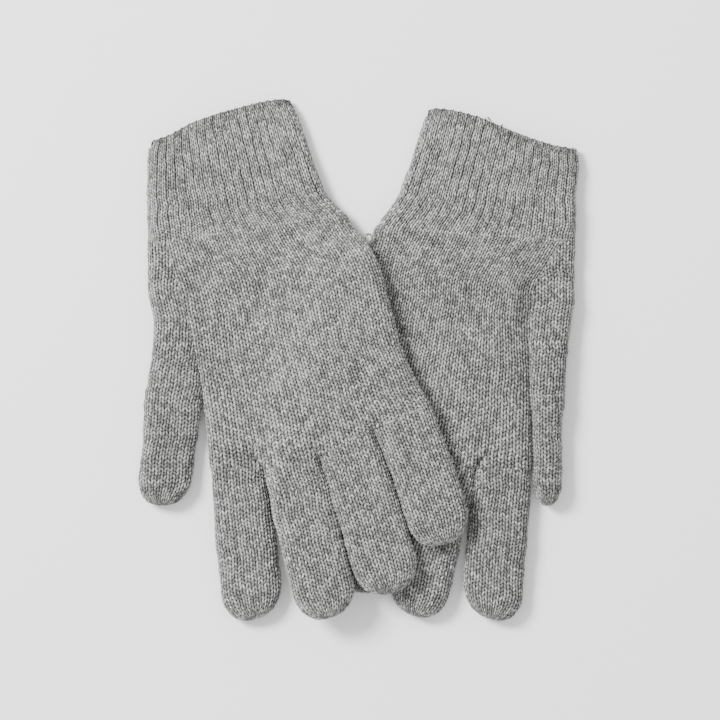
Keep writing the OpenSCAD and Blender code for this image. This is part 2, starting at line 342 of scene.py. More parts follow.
def section_rings(left_point, right_point, tall, left, right, creases, count, split=(False, False)):
    """Rings of points round each section, and for each point its share of the way across.

    The outlines include the stitches, so the smooth tube is a little narrower than they are.
    Each ring runs over the front from left to right and back underneath. Where a tube is joined
    to its neighbour its edge is split, so that front and back keep their own column there."""
    reach = right_point - left_point
    width = np.linalg.norm(reach, axis=1, keepdims=True)
    unit = reach / width
    inward = unit * np.minimum(width / 16, 1)
    left_point = left_point + inward * (0 if split[0] else EDGE_INSET + wobble(left_point, 21))
    right_point = right_point - inward * (0 if split[1] else EDGE_INSET + wobble(right_point, 22))
    reach = right_point - left_point
    width = np.linalg.norm(reach, axis=1)
    front, length = columns(width, tall, left, right, count[0])
    back, _ = columns(width, tall, left, right, count[1])
    back = back[:, ::-1]
    front_share = np.linspace(0, 1, count[0] + 1)
    back_share = np.linspace(1, 0, count[1] + 1)
    back = back[:, 0 if split[1] else 1:]
    back_share = back_share[0 if split[1] else 1:]
    if not split[0]:
        back = back[:, :-1]
        back_share = back_share[:-1]
    d = np.hstack([front, back])
    share = np.concatenate([front_share, back_share])
    sign = np.concatenate([np.ones(count[0] + 1), -np.ones(back.shape[1])])
    depth_below = np.where(sign > 0, 1, -1 + STITCH_H / HALF)
    w = width[:, None]
    bent = [(place[:, None], depth[:, None], wide) for place, depth, wide in creases]
    h = half_height(d, w, left[:, None], right[:, None], bent) * tall[:, None]
    xy = left_point[:, None] + reach[:, None] * (d / w)[..., None]
    return xy, h * depth_below, share, sign, length


print("half height 2 mm from an edge:", (HALF * quarter(2, EDGE)).round(2), "mm")

# %% [markdown]
# ## From rings to a mesh
#
# The stitch heights are laid on the smooth rings along their normals. The normal of a ring point
# is the cross product of the step to the next column and the step to the next row. The wale and
# course numbers are kept as a UV map, so that the yarn colour follows the stitches. An attribute
# called light holds painted shade: it darkens the thumbs and the deepest folds, where shade falls.
#
# Fuzz could be made with hair, but the part has to be kept as plain meshes. So each piece gets
# thousands of thin triangles as loose fibres, which soften its outline as wool does.

# %% Mesh tools
# a place of painted shade: x, y in the frame, reach in x and y, share of the light it takes
PAINTED_SHADE_PLACES = [[-92, -38, 15, 34, 0.2], [-84, 2, 6, 20, 0.16], [91, -35, 12, 45, 0.14], [79, 30, 4, 14, 0.3],
          [76, -5, 8, 26, 0.16], [73, -85, 20, 34, 0.16], [-75, 82, 22, 14, 0.08], [20, -4, 14, 30, 0.06]]
# a soft fold: x, y, angle in degrees, half length, half width, depth (negative for a ridge)
FOLDS = [[-24, 54, 24, 13, 1.8, 0.8], [-14, 58, 24, 11, 1.6, 0.8], [-19, 60, 24, 12, 1.8, -0.5],
         [-8, 50, 32, 9, 1.8, 0.7], [-88, 46, 78, 12, 1.8, 0.5], [-92, 30, 84, 10, 2.2, 0.4],
         [-50, -45, 50, 4, 1.5, 0.9], [-18, -36, 45, 4.5, 1.5, 0.9], [10, -28, 40, 5, 1.5, 0.9],
         [-46, -41, 60, 4, 1.8, -0.5], [-14, -31, 60, 4, 1.8, -0.5], [6, -22, 60, 5, 1.8, -0.5],
         [4, -19, 75, 7, 1.8, 0.5], [-40, 88, 110, 22, 3, 0.5], [-70, 80, 95, 20, 3, 0.5]]
# the lower glove has one more deep fold, where its palm meets the ball of the thumb
LOWER_FOLDS = [[-68, 27, 75, 10, 3, 1.5], [-64, 12, 88, 12, 3, 0.8]]


def normals_of(points):
    """Unit normals of a grid of rings, pointing away from the middle of each ring."""
    round_step = np.roll(points, -1, axis=1) - np.roll(points, 1, axis=1)
    row_step = np.gradient(points, axis=0)
    n = np.cross(round_step, row_step)
    n /= np.maximum(np.linalg.norm(n, axis=2, keepdims=True), 1e-9)
    outward = points - points.mean(axis=1, keepdims=True)
    return n if (n * outward).sum() > 0 else -n


def grid_faces(rows, cols):
    """Corner numbers of the four-sided faces between the rings."""
    i, j = np.meshgrid(np.arange(rows - 1), np.arange(cols), indexing="ij")
    k = (j + 1) % cols
    faces = np.stack([i * cols + j, i * cols + k, (i + 1) * cols + k, (i + 1) * cols + j], axis=-1)
    return faces.reshape(-1, 4)


def add_fibres(points, flat, corners, sizes, uv):
    """Loose ends of wool: thin triangles from random points, leaning any way off the surface."""
    random = np.random.RandomState(len(flat))
    normal = normals_of(points).reshape(-1, 3)
    count = len(normal) // 9
    root = random.randint(0, len(normal), count)
    lean = normal[root] * random.uniform(0.05, 0.8, (count, 1)) + random.normal(0, 0.55, (count, 3))
    lean /= np.linalg.norm(lean, axis=1, keepdims=True)
    side = np.cross(lean, random.normal(0, 1, (count, 3)))
    side /= np.linalg.norm(side, axis=1, keepdims=True)
    base = points.reshape(-1, 3)[root] + normal[root] * 0.03
    width = random.uniform(0.03, 0.08, (count, 1))
    length = random.uniform(0.5, 1.7, (count, 1))
    new = np.stack([base - side * width, base + side * width, base + lean * length], axis=1)
    new[..., 2] = np.maximum(new[..., 2], 0.05)
    numbers = len(flat) + np.arange(count * 3)
    kinds = np.concatenate([np.zeros(len(sizes)), np.ones(count)])
    return (np.vstack([flat, new.reshape(-1, 3)]), np.concatenate([corners, numbers]),
            np.concatenate([sizes, np.full(count, 3)]), np.vstack([uv, np.zeros((count * 3, 2))]), kinds)


def painted_shade_share(world):
    """Share of light left at each point after the painted shade of the places in the list above."""
    light = np.ones(len(world))
    for x, y, reach_x, reach_y, amount in PAINTED_SHADE_PLACES:
        away = ((world[:, 0] - x) / reach_x) ** 2 + ((world[:, 1] - y) / reach_y) ** 2
        light = light - amount * np.exp(-away)
    return light


def close_tip(flat, corners, sizes, uv, tip, wale, wale_next, course):
    """A fan of triangles from the last ring to the tip, added to the mesh arrays."""
    cols = wale.shape[1]
    flat = np.vstack([flat, tip])
    last = len(flat) - 1 - cols + np.arange(cols)
    fan = np.stack([last, np.roll(last, -1), np.full(cols, len(flat) - 1)], axis=1)
    fan_u = np.stack([wale[-1], wale_next[-1], wale[-1]], axis=1)
    fan_v = np.stack([course[-1], np.roll(course[-1], -1), course[-1] + 0.5], axis=1)
    corners = np.concatenate([corners, fan.ravel()])
    sizes = np.concatenate([sizes, np.full(cols, 3)])
    return flat, corners, sizes, np.vstack([uv, np.stack([fan_u.ravel(), fan_v.ravel()], axis=1)])


def turned(corners, sizes, uv):
    """The same faces with their corners in the opposite order.

    Corner k of a face that starts at s and has n corners changes place with 2 s + n - 1 - k."""
    starts = np.repeat(np.cumsum(sizes) - sizes, sizes)
    order = 2 * starts + np.repeat(sizes, sizes) - 1 - np.arange(len(corners))
    return corners[order], uv[order]


def points_outward(flat, faces):
    """Whether the faces look away from the middle: the sign of the volume they enclose."""
    a, b, c = (flat[faces[:, k]] - flat.mean(axis=0) for k in range(3))
    return (a * np.cross(b, c)).sum() > 0


def new_object(name, world, corners, sizes, uv, kinds, materials):
    """A mesh object from arrays, with its stitch UV map and its light attribute of painted shade."""
    mesh = bpy.data.meshes.new(name)
    mesh.vertices.add(len(world))
    mesh.vertices.foreach_set("co", (world * MM).astype(np.float32).ravel())
    mesh.loops.add(len(corners))
    mesh.loops.foreach_set("vertex_index", corners.astype(np.int32))
    mesh.polygons.add(len(sizes))
    mesh.polygons.foreach_set("loop_start", (np.cumsum(sizes) - sizes).astype(np.int32))
    mesh.polygons.foreach_set("loop_total", sizes.astype(np.int32))
    mesh.polygons.foreach_set("use_smooth", np.ones(len(sizes), bool))
    layer = mesh.uv_layers.new(name="stitch")
    layer.data.foreach_set("uv", uv.astype(np.float32).ravel())
    # the light attribute is painted shade, which darkens the colour where shade falls
    light = mesh.attributes.new("light", "FLOAT", "POINT")
    light.data.foreach_set("value", painted_shade_share(world).astype(np.float32))
    mesh.update(calc_edges=True)
    mesh.validate()
    for material in materials:
        mesh.materials.append(material)
    mesh.polygons.foreach_set("material_index", kinds.astype(np.int32))
    piece = bpy.data.objects.new(name, mesh)
    bpy.context.scene.collection.objects.link(piece)
    return piece


def make_piece(glove, name, points, wale, course, material, tip=None):
    """A piece from rings of points, with the stitch numbers as its UV map and an optional tip."""
    faces = grid_faces(*points.shape[:2])
    wale_next = np.roll(wale, -1, axis=1)
    wale_next[:, -1] = wale[:, -1] + (wale[:, -1] - wale[:, -2])
    u = np.stack([wale[:-1], wale_next[:-1], wale_next[1:], wale[1:]], axis=-1)
    uv = np.stack([u.ravel(), course.ravel()[faces].ravel()], axis=1)
    flat = points.reshape(-1, 3)
    outward = points_outward(flat, faces)
    corners = faces.ravel()
    sizes = np.full(len(faces), 4)
    if tip is not None:
        flat, corners, sizes, uv = close_tip(flat, corners, sizes, uv, tip, wale, wale_next, course)
    flat, corners, sizes, uv, kinds = add_fibres(points, flat, corners, sizes, uv)
    world = flat.copy()
    world[:, :2] += HOME
    if glove["mirrored"]:
        world[:, 0] = 2 * (MIRROR_X + HOME[0]) - world[:, 0]
        outward = not outward
    if not outward:
        corners, uv = turned(corners, sizes, uv)
    return new_object(name, world, corners, sizes, uv, kinds, [material, LOOSE_FIBRE])


def raise_stitches(points, height):
    """The rings with every point moved out along its normal by its stitch height.

    Nothing goes below the surface that the gloves lie on, where their stitches are pressed flat."""
    raised = points + normals_of(points) * height[..., None]
    raised[..., 2] = np.maximum(raised[..., 2], 0.02)
    return raised


def lumps(glove, xy):
    """Soft hills of a fabric that isn't pulled tight, and the folds of the list above."""
    x, y = xy[..., 0], xy[..., 1]
    hills = 0.5 * noise(x, y, 22, 11) + 0.3 * noise(x, y, 9, 12)
    folds = FOLDS + LOWER_FOLDS if glove["mirrored"] else FOLDS
    for fold_x, fold_y, angle, long, wide, depth in folds:
        a = np.radians(angle)
        along = ((x - fold_x) * np.cos(a) + (y - fold_y) * np.sin(a)) / long
        off = ((y - fold_y) * np.cos(a) - (x - fold_x) * np.sin(a)) / wide
        hills = hills - depth * np.exp(-along ** 2 - off ** 2)
    return hills


print("folds:", len(FOLDS), "on both gloves and", len(LOWER_FOLDS), "more on the lower one")

# %% [markdown]
# ## Yarn
#
# The wool is a melange: pale and dark grey fibres are spun together, so every leg of a stitch has
# its own tone, with short flecks along it and soft clouds over several stitches. The tone comes
# from the stitch numbers in the UV map. The gaps between wales and stitches are darker, because
# little light reaches them. All this is one node group, so that the three wools share it.

# %% Yarn colour group
# how much each thing changes the tone of the yarn
MEAN_TONE = 1.34
LEG_TONE = 0.6
FIBRE_TONE = 3.0
CLOUD_TONE = 0.12
WIDE_CLOUD_TONE = 0.22
# painted shade in the gaps between legs and stitches
GAP_SHADE_TONE = 1.3
DARKEST_TONE = 0.2
TONE_POWER = 2.2


def node(tree, kind, **values):
    """A node with its properties set."""
    n = tree.nodes.new(kind)
    for key, value in values.items():
        setattr(n, key, value)
    return n


def maths(tree, operation, a, b=None, c=None):
    """A math node on sockets or numbers, and its output."""
    n = node(tree, "ShaderNodeMath", operation=operation)
    for socket, value in zip(n.inputs, (a, b, c)):
        if value is None:
            continue
        if isinstance(value, (int, float)):
            socket.default_value = value
        else:
            tree.links.new(value, socket)
    return n.outputs[0]


def noise_at(tree, vector, scale, detail=2.0, rough=0.5):
    """Soft noise from 0 to 1 at a vector."""
    n = node(tree, "ShaderNodeTexNoise")
    n.inputs["Scale"].default_value = scale
    n.inputs["Detail"].default_value = detail
    n.inputs["Roughness"].default_value = rough
    tree.links.new(vector, n.inputs["Vector"])
    return n.outputs["Fac"]


def yarn_group():
    """Tone and height of melange yarn from the stitch numbers."""
    tree = bpy.data.node_groups.new("melange_yarn", "ShaderNodeTree")
    face = tree.interface
    face.new_socket("Tone", in_out="OUTPUT", socket_type="NodeSocketFloat")
    face.new_socket("Height", in_out="OUTPUT", socket_type="NodeSocketFloat")
    out = node(tree, "NodeGroupOutput")
    uv = node(tree, "ShaderNodeUVMap", uv_map="stitch")
    xyz = node(tree, "ShaderNodeSeparateXYZ")
    tree.links.new(uv.outputs["UV"], xyz.inputs["Vector"])
    wale, course = xyz.outputs["X"], xyz.outputs["Y"]
    place = node(tree, "ShaderNodeTexCoord").outputs["Object"]

    # a stitch has two slanted legs: across is 0 on top of a leg and 1 in the gaps beside it
    inside = maths(tree, "SUBTRACT", maths(tree, "FRACT", wale), 0.5)
    from_middle = maths(tree, "MULTIPLY", maths(tree, "ABSOLUTE", inside), 2.0)
    across = maths(tree, "ABSOLUTE", maths(tree, "MULTIPLY_ADD", from_middle, 2.0, -1.0))
    leg = maths(tree, "FLOOR", maths(tree, "MULTIPLY", wale, 2.0))
    phase = maths(tree, "MULTIPLY_ADD", from_middle, -0.75, course)
    number = maths(tree, "FLOOR", phase)
    along = maths(tree, "MULTIPLY_ADD", maths(tree, "FRACT", phase), 2.0, -1.0)
    along = maths(tree, "ABSOLUTE", along)
    cell = node(tree, "ShaderNodeCombineXYZ")
    tree.links.new(leg, cell.inputs["X"])
    tree.links.new(number, cell.inputs["Y"])
    white = node(tree, "ShaderNodeTexWhiteNoise", noise_dimensions="2D")
    tree.links.new(cell.outputs["Vector"], white.inputs["Vector"])

    # fibres lie along the leg, so their noise is stretched along the course direction
    stretch = node(tree, "ShaderNodeCombineXYZ")
    tree.links.new(maths(tree, "MULTIPLY", wale, 9.0), stretch.inputs["X"])
    tree.links.new(maths(tree, "MULTIPLY", phase, 2.4), stretch.inputs["Y"])
    fibre = noise_at(tree, stretch.outputs["Vector"], 1.0, 3.0, 0.6)
    cloud = noise_at(tree, place, 260.0, 2.0)
    wide_cloud = noise_at(tree, place, 60.0, 2.0)

    # painted shade: gaps are dark beside the legs and between stitches, and darkest where both meet
    beside = maths(tree, "POWER", across, 2.5)
    between = maths(tree, "POWER", along, 3.0)
    gap = maths(tree, "MULTIPLY_ADD", between, 0.45, maths(tree, "MULTIPLY", beside, 0.6))
    hole = maths(tree, "MULTIPLY", beside, between)
    gap = maths(tree, "MULTIPLY_ADD", hole, 0.5, gap)

    # the sum is raised to a power, so that pale fibres stand out more than dark ones
    tone = MEAN_TONE
    for source, amount in ((white.outputs["Value"], LEG_TONE), (fibre, FIBRE_TONE),
                           (cloud, CLOUD_TONE), (wide_cloud, WIDE_CLOUD_TONE)):
        tone = maths(tree, "MULTIPLY_ADD", maths(tree, "SUBTRACT", source, 0.5), amount, tone)
    tone = maths(tree, "MULTIPLY_ADD", gap, -GAP_SHADE_TONE, tone)
    tone = maths(tree, "POWER", maths(tree, "MAXIMUM", tone, DARKEST_TONE), TONE_POWER)
    height = maths(tree, "MULTIPLY_ADD", gap, -0.8, maths(tree, "MULTIPLY", fibre, 0.5))
    tree.links.new(tone, out.inputs["Tone"])
    tree.links.new(height, out.inputs["Height"])
    return tree


yarn = yarn_group()
print("group", yarn.name, "puts out", [item.name for item in yarn.interface.items_tree])

# %% [markdown]
# ## Wool
#
# Wool scatters light in all directions and its fuzz glows a little at grazing angles. So each
# material is rough with a weak highlight and some sheen, and the yarn group scales its grey. The
# ribbed wool is a little paler, to make up for its dark valleys.

# %% Wool materials
def rib_shade(tree, tone, depth):
    """The tone made darker between the ribs as painted shade, less so near the wrist."""
    uv = node(tree, "ShaderNodeUVMap", uv_map="stitch")
    xyz = node(tree, "ShaderNodeSeparateXYZ")
    tree.links.new(uv.outputs["UV"], xyz.inputs["Vector"])
    place = maths(tree, "FRACT", maths(tree, "MULTIPLY", xyz.outputs["X"], 0.5))
    off = maths(tree, "ABSOLUTE", maths(tree, "SUBTRACT", place, 0.5))
    low = maths(tree, "POWER", maths(tree, "MULTIPLY", off, 2.0), 7.0)
    place = node(tree, "ShaderNodeTexCoord").outputs["Object"]
    low = maths(tree, "MULTIPLY", low, maths(tree, "MULTIPLY", noise_at(tree, place, 70.0), 2.5))
    fade = maths(tree, "MULTIPLY", xyz.outputs["Y"], -0.12)
    fade = maths(tree, "MINIMUM", maths(tree, "MAXIMUM", fade, 0.0), depth)
    left = maths(tree, "MULTIPLY_ADD", low, maths(tree, "MULTIPLY", fade, -1.0), 1.0)
    return maths(tree, "MULTIPLY", tone, left)


def wool(name, group, colour, bump, rib_depth=0.0):
    """Matt fuzzy wool: the group's tone scales the colour and its height bumps the surface."""
    material = bpy.data.materials.new(name)
    material.use_nodes = True
    tree = material.node_tree
    surface = tree.nodes["Principled BSDF"]
    yarn = node(tree, "ShaderNodeGroup", node_tree=group)
    mix = node(tree, "ShaderNodeVectorMath", operation="SCALE")
    mix.inputs[0].default_value = colour
    # painted shade: the light attribute darkens the tone of the thumbs and the deepest folds
    light = node(tree, "ShaderNodeAttribute", attribute_name="light").outputs["Fac"]
    tone = maths(tree, "MULTIPLY", rib_shade(tree, yarn.outputs["Tone"], rib_depth), light)
    tree.links.new(tone, mix.inputs["Scale"])
    tree.links.new(mix.outputs["Vector"], surface.inputs["Base Color"])
    relief = node(tree, "ShaderNodeBump")
    relief.inputs["Strength"].default_value = bump
    relief.inputs["Distance"].default_value = 0.0004
    tree.links.new(yarn.outputs["Height"], relief.inputs["Height"])
    tree.links.new(relief.outputs["Normal"], surface.inputs["Normal"])
    surface.inputs["Roughness"].default_value = 0.95
    surface.inputs["Specular IOR Level"].default_value = 0.15
    surface.inputs["Sheen Weight"].default_value = 0.25
    surface.inputs["Sheen Roughness"].default_value = 0.5
    return material


def plain(name, colour):
    """A matt material of one colour."""
    material = bpy.data.materials.new(name)
    material.use_nodes = True
    surface = material.node_tree.nodes["Principled BSDF"]
    surface.inputs["Base Color"].default_value = (*colour, 1)
    surface.inputs["Roughness"].default_value = 0.9
    surface.inputs["Specular IOR Level"].default_value = 0.1
    return material


KNIT_GREY = (0.143, 0.143, 0.14)
RIB_GREY = (0.16, 0.16, 0.157)
KNIT_WOOL = wool("knit_wool", yarn, KNIT_GREY, 0.9)
RIB_WOOL = wool("rib_wool", yarn, RIB_GREY, 0.9, 0.3)
EDGE_WOOL = wool("edge_wool", yarn, RIB_GREY, 0.9, 0.3)
LOOSE_FIBRE = plain("loose_fibre", (0.42, 0.42, 0.41))
print("materials:", KNIT_WOOL.name, RIB_WOOL.name, EDGE_WOOL.name)

# %% [markdown]
# ## Palm and back
#
# Palm and back are one tube on a real glove too, and the gusset is a cushion of extra stitches
# that makes room for the ball of the thumb. The rows of a hand run from the wrist to the curved
# line where the fingers begin. The crease beside the thumb deepens from the wrist to the thumb's
# crotch, where palm and gusset part. Three more creases fade in just above the fingers, and they
# lean towards the thumb, as the fabric is pulled there.

# %% Hand
# the creases above the gaps between fingers: how far they reach and lean, and their width
CREASE_FADE = 13
CREASE_LEAN = 5.5
CREASE_WIDTH = 4.5
# the share of the way down the hand from which its rows start to curve like the root line
CURVE_FROM = 0.72


def hand_frame(glove, t):
    """Left and right points of a hand's rows, for t from 0 at the wrist to 1 at the knuckles."""
    rows = np.array(glove["rows"], float)
    place = np.linspace(0, 1, len(rows))
    y = [np.interp(t, place, rows[:, k]) for k in (0, 1)]
    left = np.stack([lookup(glove["groove"], y[0]), y[0]], axis=1)
    right = np.stack([lookup(glove["side"], y[1]), y[1]], axis=1)
    return left, right


def hand_length(glove):
    """Length of a hand from the wrist to the knuckle line, in the middle."""
    left, right = hand_frame(glove, np.array([0.0, 1.0]))
    middle = (left + right) / 2
    return np.linalg.norm(middle[1] - middle[0])


def groove_depth(glove, y):
    """Depth of the crease between palm and thumb: shallow at the wrist, 1 at the thumb."""
    top = glove["crease_top"]
    return 0.12 + 0.88 * smooth((top - y) / (top + 16)) ** 1.1


def finger_gaps(glove):
    """Where the creases between the fingers meet the knuckle line."""
    f = list(glove["fingers"].values())
    return [(a[0] + a[3] / 2 + b[0] - b[3] / 2) / 2 for a, b in zip(f, f[1:])]


def stack(xy, z):
    """Points from their places in plan and their heights."""
    return np.concatenate([xy, z[..., None]], axis=-1)


def hand_piece(glove):
    """Palm and back in one: rings between the groove and the little-finger side."""
    length = hand_length(glove)
    rows = int(length / STEP) + 1
    t = np.linspace(0, 1, rows)
    left_point, right_point = hand_frame(glove, t)
    width = np.linalg.norm(right_point - left_point, axis=1)
    depth = groove_depth(glove, left_point[:, 1])
    ends = [(p - KNUCKLE) @ ACROSS for p in (left_point[-1], right_point[-1])]
    fade = smooth((t - 1) * length / CREASE_FADE + 1)
    creases = []
    lean = CREASE_LEAN * smooth((1 - t) * length / 10)
    for u in finger_gaps(glove):
        share = (u - ends[0]) / (ends[1] - ends[0])
        creases.append((share * width - lean, fade, CREASE_WIDTH))
    count = (PALM_WALES * PER_WALE_FRONT, PALM_WALES * PER_WALE_BACK)
    tall = np.full(rows, HALF)
    xy, z, share, sign, _ = section_rings(left_point, right_point, tall, depth, np.ones(rows),
                                          creases, count, split=(True, False))
    u = (xy - KNUCKLE) @ ACROSS
    curving = smooth((t[:, None] - CURVE_FROM) / (1 - CURVE_FROM))
    xy = xy + ALONG * (lookup(ROOT_LINE, u, 4) * curving)[..., None]
    z = z + HALF + climb(glove, xy[..., 0], xy[..., 1])
    wale = np.broadcast_to(share * PALM_WALES, z.shape) + np.where(sign > 0, 0, BACK_WALE)
    v = (xy - KNUCKLE) @ ALONG
    start = v[0][None, :]
    course = (v - start) / -start * length / COURSE
    points = stack(xy, z)
    points[..., 2] += lumps(glove, xy) * np.clip(sign, 0, 1)
    wale, course, height = fabric(wale, course)
    return make_piece(glove, glove["name"] + "_palm_and_back", raise_stitches(points, height), wale,
                      course, KNIT_WOOL)


def gusset_piece(glove):
    """The tapering cushion that the thumb grows out of."""
    rows_y = np.array(glove["rows"], float)[:, 0]
    top = rows_y[0]
    rows = int((top - THUMB_Y) / STEP) + 1
    y = np.linspace(top, THUMB_Y, rows)
    left_point = np.stack([lookup(glove["thumb_side"], y), y], axis=1)
    right_point = np.stack([lookup(glove["groove"], y), y], axis=1)
    depth = groove_depth(glove, y)
    tall = HALF + (glove["thumb_height"] / 2 - HALF) * smooth((32 - y) / 40)
    wales = 8
    count = (wales * PER_WALE_FRONT, wales * PER_WALE_BACK)
    xy, z, share, sign, length = section_rings(left_point, right_point, tall, np.ones(rows), depth,
                                               [], count, split=(False, True))
    z = z + tall[:, None]
    wale = share * length[:, None] / WALE + np.where(sign > 0, 40, BACK_WALE + 100)
    course = np.broadcast_to(((top - y) / COURSE)[:, None], z.shape)
    points = stack(xy, z)
    points[..., 2] += lumps(glove, xy) * np.clip(sign, 0, 1)
    wale, course, height = fabric(wale, course)
    return make_piece(glove, glove["name"] + "_gusset", raise_stitches(points, height), wale, course,
                      KNIT_WOOL)


for glove in (UPPER, LOWER):
    print(glove["name"], "hand is", round(float(hand_length(glove)), 1), "mm long")

# %% [markdown]
# ## Fingers and thumbs
#
# Fingers and thumbs are closed tubes, knitted on from the hand. A finger starts on the curved
# root line a little inside the hand, and its rows straighten over the first 20 mm. It widens from
# its root, and its last 14 mm close in an oval end. The stitches run on from the hand, and they
# draw together towards the tip. The index finger of the upper glove comes down to the floor, and
# its other fingers stay up on the lower glove.

# %% Digits
def digit(glove, name, origin, across, along, values, tall, root, wale_0, course_0, lift_share):
    """A finger or thumb as rings of points, closed by a tip.

    A row lies s mm from the root. Its middle runs sideways evenly and bows with the square of s,
    and over the oval end its width and height shrink with powers of the cosine of the turn."""
    place, run, bow, root_width, full_width, length = values
    straight = length - FINGER_CAP
    angles = np.radians(np.linspace(0, 86, 40))[1:]
    s = np.concatenate([np.arange(-3, straight, STEP), straight + FINGER_CAP * np.sin(angles)])
    turn = np.concatenate([np.zeros(len(s) - len(angles)), angles])
    width = root_width + (full_width - root_width) * smooth(s / glove["grow"])
    body_width = width.copy()
    width = width * np.cos(turn) ** 0.8
    inside = TUCK * smooth(-s / 1.5)
    height = (tall / 2 - inside) * np.cos(turn) ** 0.5
    middle = place + run * s + bow * (np.maximum(s, 0) / length) ** 2
    count = int(full_width * 1.18 / WALE)
    ones = np.ones(len(s))
    left_point = np.stack([middle - width / 2, s], axis=1)
    right_point = np.stack([middle + width / 2, s], axis=1)
    us, z, share, sign, curve = section_rings(left_point, right_point, height, ones, ones, [],
                                              (count * PER_WALE_FRONT, count * PER_WALE_BACK))
    u = us[..., 0]
    shift = root(u) * (1 - smooth(s / 20))[:, None]
    v = us[..., 1] + shift
    xy = origin + across * u[..., None] + along * v[..., None]
    z = z + tall / 2 + climb(glove, xy[..., 0], xy[..., 1]) * lift_share(s)[:, None]
    if wale_0 is None:
        wale_0 = 40 + curve[np.argmin(np.abs(s))] / WALE / 2
    spread = (body_width / np.maximum(width, 1e-6))[:, None]
    arc = (share - 0.5) * curve[:, None] * np.minimum(spread, 4)
    wale = np.where(sign > 0, wale_0 + arc / WALE, wale_0 + 2 * BACK_WALE - arc / WALE)
    course = course_0 + v / COURSE
    points = stack(xy, z)
    points[..., 2] += lumps(glove, xy) * np.clip(sign, 0, 1) * np.cos(turn)[:, None]
    wale, course, height = fabric(wale, course)
    raised = raise_stitches(points, height)
    tip_xy = origin + across * (place + run * length + bow) + along * length
    tip = np.array([tip_xy[0], tip_xy[1], raised[-1, :, 2].mean()])
    return make_piece(glove, glove["name"] + "_" + name, raised, wale, course, KNIT_WOOL, tip)


def finger_piece(glove, finger):
    """One of the four fingers, starting on the curved root line."""
    values = glove["fingers"][finger]
    left, right = hand_frame(glove, np.array([1.0]))
    ends = [(p[0] - KNUCKLE) @ ACROSS for p in (left, right)]
    wale_0 = (values[0] - ends[0]) / (ends[1] - ends[0]) * PALM_WALES
    course_0 = hand_length(glove) / COURSE

    def root(u):
        return lookup(ROOT_LINE, u, 4)

    def lift_share(s):
        return 1 - smooth(s / 18) if finger == "index" else np.ones(len(s))
    return digit(glove, finger, KNUCKLE, ACROSS, ALONG, values, 2 * HALF, root, wale_0, course_0,
                 lift_share)


def thumb_piece(glove):
    """The thumb, starting on a straight line across the gusset."""
    values = glove["thumb"]
    top = glove["rows"][0][0]
    return digit(glove, "thumb_tube", np.array([0.0, THUMB_Y]), np.array([1.0, 0.0]),
                 np.array([0.0, -1.0]), values, glove["thumb_height"], lambda u: 0 * u,
                 None, (top - THUMB_Y) / COURSE, lambda s: 0 * s)


print("oval ends:", FINGER_CAP, "mm of each finger and thumb")

# %% [markdown]
# ## Cuffs
#
# A cuff is one tube of ribbing with the same number of ribs from the wrist to the mouth, so the
# ribs draw together where it narrows. It is flatter at the mouth. Its welt, the firm cast-on
# edge, is a second tube: it runs out to the mouth, turns in over a small lip and carries on as
# the inner face of the cuff until it closes deep inside. So the mouth is open, and no hole shows.

# %% Cuff
CUFF_WALES = PALM_WALES + GUSSET_WALES
WELT = 4.0
MOUTH_HALF = 3.7
# radius of the welt's lip, and how far it stands out beyond the ribs
LIP = 0.9
WELT_OUT = 0.4
# how deep the inner face reaches, and over how much of it the tube closes
INNER_DEPTH = 42
CLOSING = 36


def cuff_points(glove, t):
    """Left and right points of a cuff's rows, for t from 0 at the wrist to 1 at the mouth."""
    stations = np.array(glove["cuff"], float)[::-1]
    place = np.linspace(0, 1, len(stations))
    points = []
    for side in (0, 1):
        columns_xy = [lookup(np.stack([place * 50, stations[:, side, k]], axis=1), t * 50, 6)
                      for k in (0, 1)]
        points.append(np.stack(columns_xy, axis=1))
    return points


def cuff_length(glove):
    """Length of a cuff in its middle."""
    left, right = cuff_points(glove, np.array([0.0, 1.0]))
    middle = (left + right) / 2
    return np.linalg.norm(middle[1] - middle[0])


def cuff_rings(glove, t, tall, shrink):
    """Rings of a cuff at the given rows, drawn in by `shrink`, with an arched mouth."""
    left_point, right_point = cuff_points(glove, t)
    reach = right_point - left_point
    unit = reach / np.linalg.norm(reach, axis=1, keepdims=True)
    left_point = left_point + unit * shrink[:, None]
    right_point = right_point - unit * shrink[:, None]
    ones = np.ones(len(t))
    count = (CUFF_WALES * PER_WALE_FRONT, CUFF_WALES * PER_WALE_BACK)
    xy, z, share, sign, _ = section_rings(left_point, right_point, tall, ones, ones, [], count)
    out = np.stack([-unit[:, 1], unit[:, 0]], axis=1)
    arch = lookup(glove["mouth"], share, 0.06)
    xy = xy + out[:, None] * (arch[None] * smooth((t[:, None] - 0.4) / 0.6))[..., None]
    wale = share * CUFF_WALES - GUSSET_WALES + np.where(sign > 0, 0, BACK_WALE)
    return xy, z, np.broadcast_to(wale, z.shape), sign


def cuff_surface(glove, t, xy, z, sign):
    """Points of a cuff at their full height: on the hand's middle line, lower at the mouth."""
    middle = HALF + climb(glove, xy[..., 0], xy[..., 1]) + (MOUTH_HALF - HALF) * smooth(t)[:, None]
    points = stack(xy, z + middle)
    points[..., 2] += lumps(glove, xy) * np.clip(sign, 0, 1)
    return points


def cuff_piece(glove):
    """The ribbed tube of a cuff from just inside the hand to its welt."""
    length = cuff_length(glove)
    t = np.arange(-2.5, length - WELT + 0.8, STEP) / length
    hidden = smooth(-t * length / 1.2)
    tall = HALF + (MOUTH_HALF - HALF) * smooth(t) - TUCK * hidden
    xy, z, wale, sign = cuff_rings(glove, t, tall, 0.8 * hidden)
    course = np.broadcast_to((-t * length / COURSE)[:, None], z.shape)
    points = cuff_surface(glove, t, xy, z, sign)
    wale, course, height = fabric(wale, course)
    return make_piece(glove, glove["name"] + "_cuff_rib", raise_stitches(points, height), wale,
                      course, RIB_WOOL)


